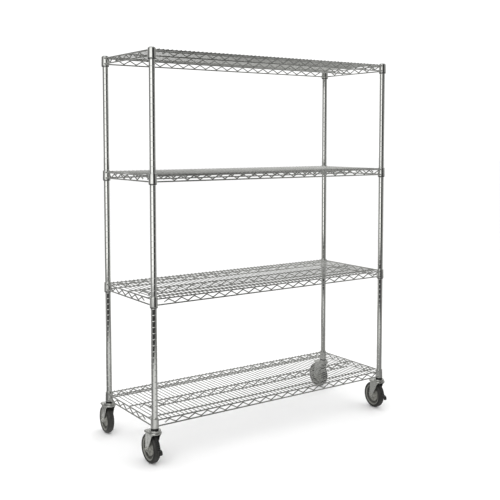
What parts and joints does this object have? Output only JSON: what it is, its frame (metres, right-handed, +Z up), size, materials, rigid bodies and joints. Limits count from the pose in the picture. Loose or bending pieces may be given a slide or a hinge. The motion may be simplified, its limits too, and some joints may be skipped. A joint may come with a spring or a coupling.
{
  "type": "wire shelving rack",
  "caption": "Mobile chrome wire shelving rack: grooved posts carry welded wire shelves on collars and split sleeves, on swivel casters, the front ones braked.",
  "frame": {"origin": "on the floor, at the centre of the rectangle of the four posts", "axes": "+Z up, +X along the long side, -Y the front, where the braked casters are"},
  "size_m": [1.337, 0.5901, 1.729],
  "materials": {
    "chrome_post": "polished",
    "chrome_wire": "polished",
    "chrome_collar": "polished",
    "cap": "satin",
    "sleeve_plastic": "matte",
    "zinc_steel": "bright zinc",
    "bolt_steel": "bright zinc",
    "ball_steel": "polished",
    "bumper_rubber": "matte",
    "wheel_hub": "satin",
    "wheel_tyre": "matte",
    "brake_black": "satin black"
  },
  "bodies": {
    "root": {"post_front_left": "chrome_post", "post_front_right": "chrome_post", "post_back_left": "chrome_post", "post_back_right": "chrome_post", "post_caps": "cap", "bottom_shelf_deck": "chrome_wire", "bottom_shelf_stringers": "chrome_wire", "bottom_shelf_front_truss": "chrome_wire", "bottom_shelf_back_truss": "chrome_wire", "bottom_shelf_centre_truss": "chrome_wire", "bottom_shelf_end_trusses": "chrome_wire", "bottom_shelf_collars": "chrome_collar", "top_shelf_deck": "chrome_wire", "top_shelf_stringers": "chrome_wire", "top_shelf_front_truss": "chrome_wire", "top_shelf_back_truss": "chrome_wire", "top_shelf_centre_truss": "chrome_wire", "top_shelf_end_trusses": "chrome_wire", "top_shelf_collars": "chrome_collar", "sleeves": "sleeve_plastic", "caster_stems": "zinc_steel", "caster_bumpers": "bumper_rubber", "swivel_balls": "ball_steel"},
    "lower_shelf": {"lower_shelf_deck": "chrome_wire", "lower_shelf_stringers": "chrome_wire", "lower_shelf_front_truss": "chrome_wire", "lower_shelf_back_truss": "chrome_wire", "lower_shelf_centre_truss": "chrome_wire", "lower_shelf_end_trusses": "chrome_wire", "lower_shelf_collars": "chrome_collar"},
    "upper_shelf": {"upper_shelf_deck": "chrome_wire", "upper_shelf_stringers": "chrome_wire", "upper_shelf_front_truss": "chrome_wire", "upper_shelf_back_truss": "chrome_wire", "upper_shelf_centre_truss": "chrome_wire", "upper_shelf_end_trusses": "chrome_wire", "upper_shelf_collars": "chrome_collar"},
    "front_left_fork": {"front_left_caster_fork": "zinc_steel", "front_left_caster_fasteners": "bolt_steel", "front_left_caster_bush": "bolt_steel"},
    "front_left_wheel": {"front_left_caster_hub": "wheel_hub", "front_left_caster_tyre": "wheel_tyre"},
    "front_left_brake": {"front_left_caster_brake_lever": "brake_black"},
    "front_right_fork": {"front_right_caster_fork": "zinc_steel", "front_right_caster_fasteners": "bolt_steel", "front_right_caster_bush": "bolt_steel"},
    "front_right_wheel": {"front_right_caster_hub": "wheel_hub", "front_right_caster_tyre": "wheel_tyre"},
    "front_right_brake": {"front_right_caster_brake_lever": "brake_black"},
    "back_left_fork": {"back_left_caster_fork": "zinc_steel", "back_left_caster_fasteners": "bolt_steel", "back_left_caster_bush": "bolt_steel"},
    "back_left_wheel": {"back_left_caster_hub": "wheel_hub", "back_left_caster_tyre": "wheel_tyre"},
    "back_right_fork": {"back_right_caster_fork": "zinc_steel", "back_right_caster_fasteners": "bolt_steel", "back_right_caster_bush": "bolt_steel"},
    "back_right_wheel": {"back_right_caster_hub": "wheel_hub", "back_right_caster_tyre": "wheel_tyre"}
  },
  "joints": [
    {"name": "lower_shelf_lift", "type": "slide", "parent": "root", "child": "lower_shelf", "axis": [0, 0, 1], "range_m": [0, 0.46]},
    {"name": "upper_shelf_lift", "type": "slide", "parent": "root", "child": "upper_shelf", "axis": [0, 0, 1], "range_m": [0, 0.46]},
    {"name": "front_left_swivel", "type": "hinge", "parent": "root", "child": "front_left_fork", "pos_m": [-0.638, -0.219, 0.14], "axis": [0, 0, 1], "continuous": true},
    {"name": "front_left_wheel_spin", "type": "hinge", "parent": "front_left_fork", "child": "front_left_wheel", "pos_m": [-0.638, -0.183, 0.0635], "axis": [1, 0, 0], "continuous": true},
    {"name": "front_left_brake_pedal", "type": "hinge", "parent": "front_left_fork", "child": "front_left_brake", "pos_m": [-0.638, -0.217, 0.1275], "axis": [1, 0, 0], "range_deg": [0, 5]},
    {"name": "front_right_swivel", "type": "hinge", "parent": "root", "child": "front_right_fork", "pos_m": [0.638, -0.219, 0.14], "axis": [0, 0, 1], "continuous": true},
    {"name": "front_right_wheel_spin", "type": "hinge", "parent": "front_right_fork", "child": "front_right_wheel", "pos_m": [0.64051, -0.18309, 0.0635], "axis": [0.9976, -0.0698, 0], "continuous": true},
    {"name": "front_right_brake_pedal", "type": "hinge", "parent": "front_right_fork", "child": "front_right_brake", "pos_m": [0.63814, -0.21701, 0.1275], "axis": [0.9976, -0.0698, 0], "range_deg": [0, 5]},
    {"name": "back_left_swivel", "type": "hinge", "parent": "root", "child": "back_left_fork", "pos_m": [-0.638, 0.219, 0.14], "axis": [0, 0, 1], "continuous": true},
    {"name": "back_left_wheel_spin", "type": "hinge", "parent": "back_left_fork", "child": "back_left_wheel", "pos_m": [-0.63486, 0.25486, 0.0635], "axis": [0.9962, -0.0872, 0], "continuous": true},
    {"name": "back_right_swivel", "type": "hinge", "parent": "root", "child": "back_right_fork", "pos_m": [0.638, 0.219, 0.14], "axis": [0, 0, 1], "continuous": true},
    {"name": "back_right_wheel_spin", "type": "hinge", "parent": "back_right_fork", "child": "back_right_wheel", "pos_m": [0.63674, 0.25498, 0.0635], "axis": [0.9994, 0.0349, 0], "continuous": true}
  ]
}
